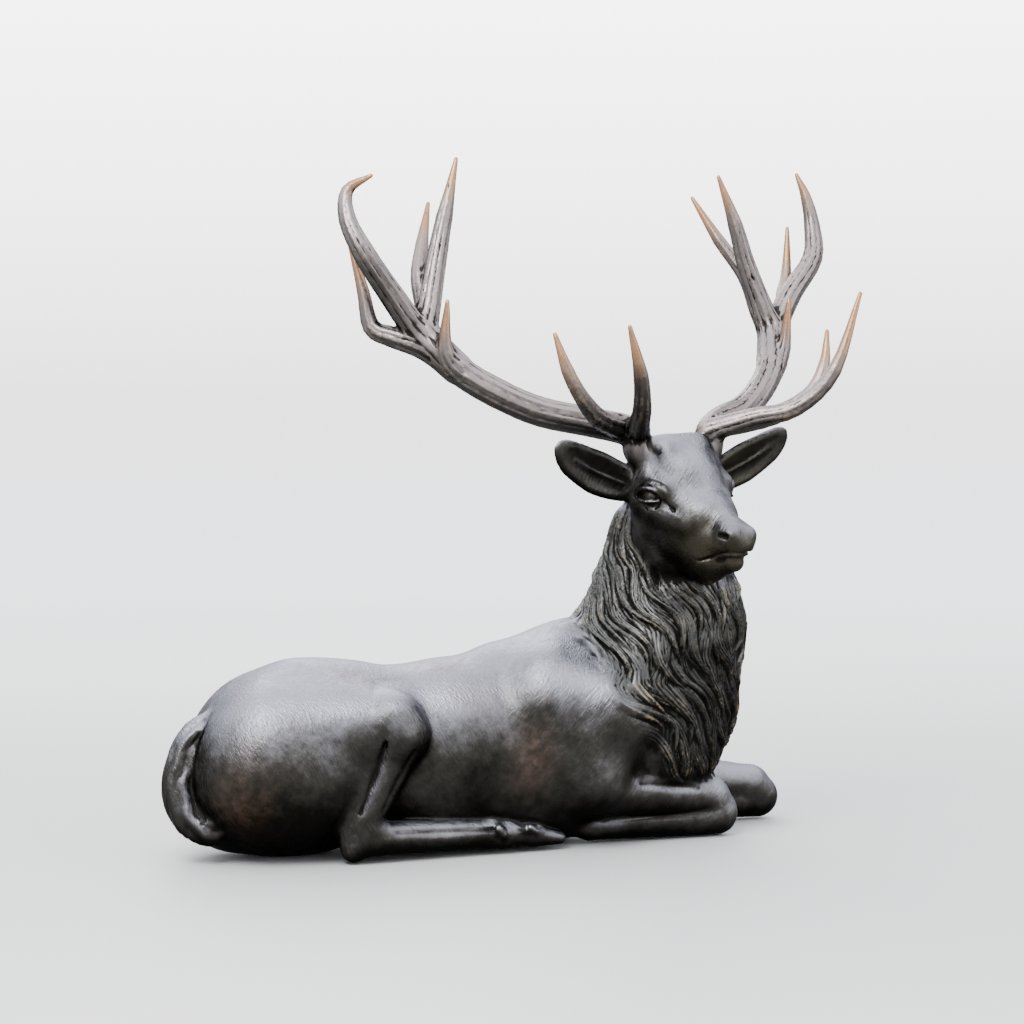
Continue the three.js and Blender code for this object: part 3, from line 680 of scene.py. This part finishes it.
def refine(mesh, wanted):
    """Cuts each face in four where all its corners are wanted."""
    work = bmesh.new()
    work.from_mesh(mesh)
    work.edges.ensure_lookup_table()
    edges = [e for e in work.edges if wanted[e.verts[0].index] and wanted[e.verts[1].index]]
    bmesh.ops.subdivide_edges(work, edges=edges, cuts=1, use_grid_fill=True)
    work.to_mesh(mesh)
    work.free()


def settle(mesh, muscles):
    """Moves each vertex along its normal onto the form's surface."""
    points = vertex_array(mesh) / MM
    normals = vertex_array(mesh, "normal")
    order = np.lexsort((np.floor(points / 90)).T)
    keys = np.floor(points[order] / 90)
    cuts = np.flatnonzero(np.any(np.diff(keys, axis=0) != 0, axis=1)) + 1
    for chunk in np.split(order, cuts):
        part = points[chunk]
        near = near_to(muscles, part)
        for _ in range(2):
            part = part - normals[chunk] * np.clip(field(part, near), -4, 4)[:, None]
        points[chunk] = part
    points[:, 2] = np.maximum(points[:, 2], 0)
    mesh.vertices.foreach_set("co", (points * MM).ravel())
    mesh.update()


def add_attribute(mesh, name, values):
    attribute = mesh.attributes.new(name, "FLOAT", "POINT")
    attribute.data.foreach_set("value", values.astype(np.float32))


def antler_place(points, muscles):
    """The share of antler at each point, the radius of the tine there, and the turn round it."""
    antler = [m for m in muscles if m.part == "antler"]
    skull = field(points, [m for m in muscles if m.part == "head"])
    nearest = np.full(len(points), FAR)
    thickness = np.full(len(points), 40.0)
    turn = np.zeros(len(points))
    for muscle in antler:
        along, distance = muscle.place(points)
        closer = distance < nearest
        nearest[closer] = distance[closer]
        radius = muscle.radii[0] + (muscle.radii[1] - muscle.radii[0]) * along
        thickness[closer] = radius[closer]
        axis = muscle.end - muscle.start
        sideways = np.cross(axis, [0.31, 0.95, 0.0])
        sideways /= np.linalg.norm(sideways)
        other = np.cross(axis / np.linalg.norm(axis), sideways)
        spoke = points - muscle.start
        angle = np.arctan2(spoke @ other, spoke @ sideways)
        turn[closer] = angle[closer]
    share = smooth_step(12, 2, nearest) * smooth_step(-6, 14, skull)
    return share, thickness, turn


def antler_relief(thickness, turn, points):
    """Long ridges round the beam, fading out on the smooth tips."""
    wander = 0.5 * np.sin(points[:, 2] / 37) + 0.4 * np.sin(points[:, 1] / 29 + 2)
    ridges = np.cos(RIDGES * turn + wander) * 0.6 + np.cos(2.3 * RIDGES * turn - wander) * 0.4
    return RIDGE_DEPTH * ridges * smooth_step(9, 26, thickness)


def tail_relief(points, muscles):
    """Curling strands round the tail."""
    tail = [m for m in muscles if m.part == "tail"]
    nearest = np.full(len(points), FAR)
    place = np.zeros(len(points))
    turn = np.zeros(len(points))
    for number, muscle in enumerate(tail):
        along, distance = muscle.place(points)
        closer = distance < nearest
        nearest[closer] = distance[closer]
        spoke = points - muscle.start
        angle = np.arctan2(spoke[:, 1], spoke @ np.cross(muscle.end - muscle.start, [0, 1, 0])
                           / np.linalg.norm(muscle.end - muscle.start))
        place[closer] = (number + along)[closer]
        turn[closer] = angle[closer]
    ridges = np.cos(TAIL_STRANDS * turn + place * TAIL_TWIST + 0.6 * np.sin(place * 1.3))
    return TAIL_DEPTH * ridges * smooth_step(8, 1, nearest) * smooth_step(1, 4, place)


def patch_share(points, patches):
    """1 in the middle of a patch and 0 outside, the strongest of them at each point."""
    share = np.zeros(len(points))
    for _, centre, size in patches:
        away = np.linalg.norm((points - centre) / size, axis=1)
        share = np.maximum(share, np.exp(-away ** 2 * 1.6))
    return share


def hollowness(mesh):
    """How far each vertex lies below the ones round it, from -1 on a sharp ridge to 1 in a crease."""
    points = vertex_array(mesh) / MM
    normals = vertex_array(mesh, "normal")
    ends = np.empty(len(mesh.edges) * 2, np.int32)
    mesh.edges.foreach_get("vertices", ends)
    ends = ends.reshape(-1, 2)
    both = np.concatenate([ends, ends[:, ::-1]])
    count = np.bincount(both[:, 0], minlength=len(points)).clip(1)

    def mean_of_neighbours(values):
        return np.bincount(both[:, 0], values[both[:, 1]], minlength=len(points)) / count

    offset = np.stack([mean_of_neighbours(points[:, i]) for i in range(3)], -1) - points
    squares = np.sum((points[both[:, 1]] - points[both[:, 0]]) ** 2, axis=1)
    reach = np.sqrt(np.bincount(both[:, 0], squares, minlength=len(points)) / count)
    bend = np.sum(offset * normals, axis=1) / reach
    for _ in range(HOLLOW_SMOOTHING):
        bend = 0.5 * bend + 0.5 * mean_of_neighbours(bend)
    return np.clip(bend * HOLLOW_GAIN, -1, 1)


def near_eye(points):
    """Whether each point lies on one of the eyes or its lids."""
    eyes = [np.array(placed(SKULL_AXES, EYE, side)[:3]) for side in (1, -1)]
    return np.min([np.linalg.norm(points - eye, axis=1) for eye in eyes], axis=0) < EYE_REACH


def eye_share(points):
    """1 on the bare ball of an eye."""
    share = np.zeros(len(points))
    for side in (1, -1):
        eye = np.array(placed(SKULL_AXES, EYE, side)[:3])
        share = np.maximum(share, smooth_step(1.6, 0.6, np.linalg.norm(points - eye, axis=1) - EYE[3]))
    return share


def build_casting():
    """The bronze in one mesh, with what its material needs kept on the vertices."""
    muscles = all_muscles()
    values, low = sampled_field(muscles)
    piece = mesh_object("bronze_stag", *surface_nets(values, low))
    mesh = piece.data
    points = vertex_array(mesh) / MM
    head = np.linalg.norm(points - FACE_CENTRE, axis=1) < FACE_REACH
    antler_like = field(points, [m for m in muscles if m.part == "antler"]) < CELL
    grooved = np.zeros(len(points), bool)
    for groove in [m for m in muscles if m.part == "groove"]:
        grooved |= groove.place(points)[1] < CELL
    refine(mesh, head | antler_like | grooved | (mane_place(points)[2] > 0))
    settle(mesh, muscles)
    refine(mesh, near_eye(vertex_array(mesh) / MM))
    settle(mesh, muscles)
    points = vertex_array(mesh) / MM
    normals = vertex_array(mesh, "normal")
    relief, strand = mane_relief(points)
    antler, thickness, turn = antler_place(points, muscles)
    relief += antler * antler_relief(thickness, turn, points)
    relief += tail_relief(points, muscles)
    points += normals * relief[:, None]
    points[:, 2] = np.maximum(points[:, 2], 0)
    mesh.vertices.foreach_set("co", (points * MM).ravel())
    mesh.update()
    add_attribute(mesh, "mane", mane_place(points)[2])
    add_attribute(mesh, "eye", eye_share(points))
    add_attribute(mesh, "strand", strand)
    add_attribute(mesh, "antler", antler)
    add_attribute(mesh, "tip", antler * smooth_step(19, 8, thickness))
    return piece


def thin_out(piece, triangles):
    """Collapses the flatter faces until the piece has this many triangles."""
    count = sum(len(p.vertices) - 2 for p in piece.data.polygons)
    modifier = piece.modifiers.new("thin", "DECIMATE")
    modifier.ratio = min(1.0, triangles / count)
    modifier.use_collapse_triangulate = True
    depsgraph = bpy.context.evaluated_depsgraph_get()
    piece.data = bpy.data.meshes.new_from_object(piece.evaluated_get(depsgraph))
    piece.modifiers.clear()
    mesh = piece.data
    mesh.polygons.foreach_set("use_smooth", [True] * len(mesh.polygons))
    points = vertex_array(mesh) / MM
    add_attribute(mesh, "hollow", hollowness(mesh))
    add_attribute(mesh, "copper", patch_share(points, COPPER_PATCHES))
    add_attribute(mesh, "pale", patch_share(points, PALE_PATCHES))
    add_attribute(mesh, "olive", patch_share(points, OLIVE_PATCHES))


# ---- Materials ----
class Nodes:
    """Short words for building a node tree."""

    def __init__(self, material):
        material.use_nodes = True
        self.tree = material.node_tree
        self.shader = self.tree.nodes["Principled BSDF"]

    def add(self, kind, **settings):
        node = self.tree.nodes.new(kind)
        for name, value in settings.items():
            setattr(node, name, value)
        return node

    def link(self, source, target):
        self.tree.links.new(source, target)

    def attribute(self, name):
        return self.add("ShaderNodeAttribute", attribute_name=name).outputs["Fac"]

    def ramp(self, value, start, end, low=0.0, high=1.0):
        node = self.add("ShaderNodeMapRange", interpolation_type="SMOOTHSTEP")
        self.link(value, node.inputs["Value"])
        for name, number in zip(("From Min", "From Max", "To Min", "To Max"), (start, end, low, high)):
            node.inputs[name].default_value = number
        return node.outputs["Result"]

    def maths(self, operation, a, b):
        node = self.add("ShaderNodeMath", operation=operation)
        for socket, value in zip(node.inputs, (a, b)):
            if isinstance(value, (int, float)):
                socket.default_value = value
            else:
                self.link(value, socket)
        return node.outputs[0]

    def mix(self, share, a, b):
        node = self.add("ShaderNodeMix", data_type="RGBA")
        self.link(share, node.inputs["Factor"])
        for socket, colour in zip((node.inputs["A"], node.inputs["B"]), (a, b)):
            if isinstance(colour, tuple):
                socket.default_value = (*colour, 1)
            else:
                self.link(colour, socket)
        return node.outputs["Result"]

    def strokes(self, place, degrees):
        """Short hairs that run this many degrees below level, towards the tail."""
        node = self.add("ShaderNodeMapping", vector_type="TEXTURE")
        node.inputs["Rotation"].default_value = (0, math.radians(degrees), 0)
        node.inputs["Scale"].default_value = STROKE_SIZE
        self.link(place, node.inputs["Vector"])
        return self.noise(node.outputs["Vector"], 1.0, 3)

    def noise(self, vector, scale, detail=3.0, roughness=0.55):
        node = self.add("ShaderNodeTexNoise")
        self.link(vector, node.inputs["Vector"])
        node.inputs["Scale"].default_value = scale
        node.inputs["Detail"].default_value = detail
        node.inputs["Roughness"].default_value = roughness
        return node.outputs["Fac"]


def patina_and_painted_light_colour(nodes, upward, clouds, mottle):
    """Near black painted shade below, brown on the sides and lilac grey painted sheen above, broken up by the
    patina's clouds and mottle, with copper and olive patches.
    """
    # The lift follows the upward face, so the lilac above is painted sheen and the near black below painted
    # shade; the clouds, mottle and pale patches are the patina's own tone
    lift = nodes.maths("ADD", upward, nodes.maths("MULTIPLY", nodes.maths("SUBTRACT", clouds, 0.5), 1.3))
    lift = nodes.maths("ADD", lift, nodes.maths("MULTIPLY", nodes.maths("SUBTRACT", mottle, 0.5), 0.7))
    lift = nodes.maths("ADD", lift, nodes.maths("MULTIPLY", nodes.attribute("pale"), 0.45))
    colour = nodes.mix(nodes.ramp(lift, -0.65, 0.3), DARK, BROWN)
    colour = nodes.mix(nodes.ramp(lift, -0.05, 1.0, 0.0, 0.9), colour, LILAC)
    copper = nodes.maths("MULTIPLY", nodes.attribute("copper"), nodes.ramp(clouds, 0.35, 0.6))
    copper = nodes.maths("MULTIPLY", copper, nodes.ramp(mottle, 0.35, 0.65, 0.1, 0.35))
    colour = nodes.mix(copper, colour, COPPER)
    return nodes.mix(nodes.maths("MULTIPLY", nodes.attribute("olive"), 0.8), colour, OLIVE)


def strand_noise(nodes):
    """Fine hairs across the strands of the mane."""
    strand = nodes.add("ShaderNodeCombineXYZ")
    nodes.link(nodes.maths("MULTIPLY", nodes.attribute("strand"), 7.0), strand.inputs["X"])
    return nodes.noise(strand.outputs["Vector"], 1.0, 2)


def mane_colour(nodes, colour, upward, hair):
    # Painted sheen: the mane is painted grey where it faces up, and lighter or darker along its hairs
    sheen = nodes.maths("ADD", nodes.maths("MULTIPLY", upward, 0.45), nodes.maths("MULTIPLY", hair, 1.1))
    mane = nodes.mix(nodes.ramp(sheen, 0.25, 1.0), MANE_DARK, MANE_GREY)
    return nodes.mix(nodes.ramp(nodes.attribute("mane"), 0.1, 0.9, 0.0, 0.9), colour, mane)


def antler_colour(nodes, colour, upward, antler):
    # Painted shade and sheen: the antlers are painted brown where they face down and grey where they face up
    horn = nodes.mix(nodes.ramp(upward, -0.6, 0.5), BROWN, ANTLER_GREY)
    colour = nodes.mix(antler, colour, horn)
    return nodes.mix(nodes.attribute("tip"), colour, TIP_GOLD)


def wear_and_painted_shade_colour(nodes, colour, antler, clouds, mottle):
    """Gold where ridges of the mane and antlers are rubbed bright, painted shade darkening the hollows, and
    dark eyes.
    """
    hollow = nodes.attribute("hollow")
    edge = nodes.maths("MULTIPLY", nodes.ramp(hollow, -0.2, -0.75), nodes.ramp(mottle, 0.42, 0.62))
    edge = nodes.maths("MULTIPLY", edge, nodes.ramp(clouds, 0.4, 0.62, 0.1, 0.7))
    rough = nodes.maths("MAXIMUM", nodes.attribute("mane"), nodes.maths("MULTIPLY", antler, 0.5))
    colour = nodes.mix(nodes.maths("MULTIPLY", edge, rough), colour, GOLD)
    # Painted shade: hollows and creases are darkened towards near black
    colour = nodes.mix(nodes.ramp(hollow, 0.03, 0.45, 0.0, 0.92), colour, DARK)
    return nodes.mix(nodes.attribute("eye"), colour, EYE_BROWN)


def add_coat_bump(nodes, place, antler, hair):
    """Strokes of the short coat on the body, and hairs on the mane."""
    hind = nodes.strokes(place, HIND_STROKES)
    fore = nodes.strokes(place, FORE_STROKES)
    along = nodes.add("ShaderNodeSeparateXYZ")
    nodes.link(place, along.inputs[0])
    fur = nodes.add("ShaderNodeMix", data_type="FLOAT")
    nodes.link(nodes.ramp(along.outputs["X"], *STROKE_TURN), fur.inputs["Factor"])
    nodes.link(hind, fur.inputs["A"])
    nodes.link(fore, fur.inputs["B"])
    beside_mane = nodes.ramp(nodes.attribute("mane"), 0.1, 0.6, 1.0, 0.0)
    coat = nodes.maths("MULTIPLY", fur.outputs["Result"], beside_mane)
    coat = nodes.maths("MULTIPLY", coat, nodes.ramp(antler, 0.1, 0.6, 1.0, 0.25))
    coat = nodes.maths("MULTIPLY", coat, nodes.ramp(nodes.attribute("eye"), 0.0, 0.5, 1.0, 0.0))
    hair = nodes.maths("MULTIPLY", hair, nodes.ramp(nodes.attribute("mane"), 0.1, 0.6))
    bump = nodes.add("ShaderNodeBump")
    bump.inputs["Strength"].default_value = BUMP_STRENGTH
    bump.inputs["Distance"].default_value = BUMP_DISTANCE
    nodes.link(nodes.maths("ADD", coat, hair), bump.inputs["Height"])
    nodes.link(bump.outputs["Normal"], nodes.shader.inputs["Normal"])


def bronze_material():
    material = bpy.data.materials.new("patinated bronze")
    nodes = Nodes(material)
    place = nodes.add("ShaderNodeTexCoord").outputs["Object"]
    geometry = nodes.add("ShaderNodeNewGeometry")
    facing = nodes.add("ShaderNodeSeparateXYZ")
    nodes.link(geometry.outputs["Normal"], facing.inputs[0])
    upward = facing.outputs["Z"]
    clouds = nodes.noise(place, 5.0, 4)
    mottle = nodes.noise(place, 38.0, 5, 0.65)
    antler = nodes.attribute("antler")
    hair = strand_noise(nodes)
    colour = patina_and_painted_light_colour(nodes, upward, clouds, mottle)
    colour = mane_colour(nodes, colour, upward, hair)
    colour = antler_colour(nodes, colour, upward, antler)
    colour = wear_and_painted_shade_colour(nodes, colour, antler, clouds, mottle)
    nodes.link(colour, nodes.shader.inputs["Base Color"])
    nodes.link(nodes.ramp(mottle, 0.3, 0.7, 0.34, 0.5), nodes.shader.inputs["Roughness"])
    nodes.shader.inputs["Metallic"].default_value = 1.0
    nodes.shader.inputs["Specular Tint"].default_value = (0.5, 0.5, 0.52, 1)
    add_coat_bump(nodes, place, antler, hair)
    return material


def floor_material():
    material = bpy.data.materials.new("pale floor")
    nodes = Nodes(material)
    length = nodes.add("ShaderNodeVectorMath", operation="LENGTH")
    nodes.link(nodes.add("ShaderNodeTexCoord").outputs["Object"], length.inputs[0])
    # Painted shade: the floor is coloured darker round the stag and paler far off
    away = nodes.ramp(length.outputs["Value"], *FLOOR_REACH)
    nodes.link(nodes.mix(away, FLOOR_NEAR, FLOOR_FAR), nodes.shader.inputs["Base Color"])
    nodes.shader.inputs["Roughness"].default_value = 0.55
    nodes.shader.inputs["Specular IOR Level"].default_value = 0.2
    return material


# ---- Studio ----
def add_camera():
    data = bpy.data.cameras.new("camera")
    data.lens = CAMERA_LENS
    data.sensor_width = SENSOR_WIDTH
    camera = bpy.data.objects.new("camera", data)
    camera.location = CAMERA_PLACE
    camera.rotation_euler = np.radians([90 + CAMERA_PITCH, 0, CAMERA_HEADING])
    bpy.context.collection.objects.link(camera)
    bpy.context.scene.camera = camera


def add_floor():
    bpy.ops.mesh.primitive_plane_add(size=FLOOR_SIZE)
    floor = bpy.context.object
    floor.name = "studio_floor"
    floor.data.materials.append(floor_material())


def add_light(name, place, size, power, target):
    data = bpy.data.lights.new(name, "AREA")
    data.size = size
    data.energy = power
    light = bpy.data.objects.new(name, data)
    light.location = place
    direction = np.subtract(target, place)
    light.rotation_euler = Vector(direction).to_track_quat("-Z", "Y").to_euler()
    bpy.context.collection.objects.link(light)


def add_world():
    """A bright ceiling over darker walls, and a plain pale backdrop for the camera."""
    world = bpy.data.worlds.new("studio")
    bpy.context.scene.world = world
    world.use_nodes = True
    tree = world.node_tree
    background = tree.nodes["Background"]
    backdrop = tree.nodes.new("ShaderNodeBackground")
    place = tree.nodes.new("ShaderNodeTexCoord")
    height = tree.nodes.new("ShaderNodeSeparateXYZ")
    tree.links.new(place.outputs["Generated"], height.inputs[0])
    for shader, low, high, top in ((background, WALLS, CEILING, CEILING_TOP),
                                   (backdrop, HORIZON, SKY, SKY_TOP)):
        ramp = tree.nodes.new("ShaderNodeValToRGB")
        ramp.color_ramp.elements[0].color = (*low, 1)
        ramp.color_ramp.elements[1].position = top
        ramp.color_ramp.elements[1].color = (*high, 1)
        tree.links.new(height.outputs["Z"], ramp.inputs["Fac"])
        tree.links.new(ramp.outputs["Color"], shader.inputs["Color"])
    camera_ray = tree.nodes.new("ShaderNodeLightPath").outputs["Is Camera Ray"]
    mix = tree.nodes.new("ShaderNodeMixShader")
    tree.links.new(camera_ray, mix.inputs[0])
    tree.links.new(background.outputs[0], mix.inputs[1])
    tree.links.new(backdrop.outputs[0], mix.inputs[2])
    tree.links.new(mix.outputs[0], tree.nodes["World Output"].inputs["Surface"])


add_camera()
add_floor()
add_world()
middle = [(a + b) / 2 for a, b in zip(lo, hi)]
for light in LIGHTS:
    add_light(*light, middle)

stag = build_casting()
thin_out(stag, TRIANGLES)
stag.data.materials.append(bronze_material())
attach(stag, "root")
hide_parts("reclining_stag")
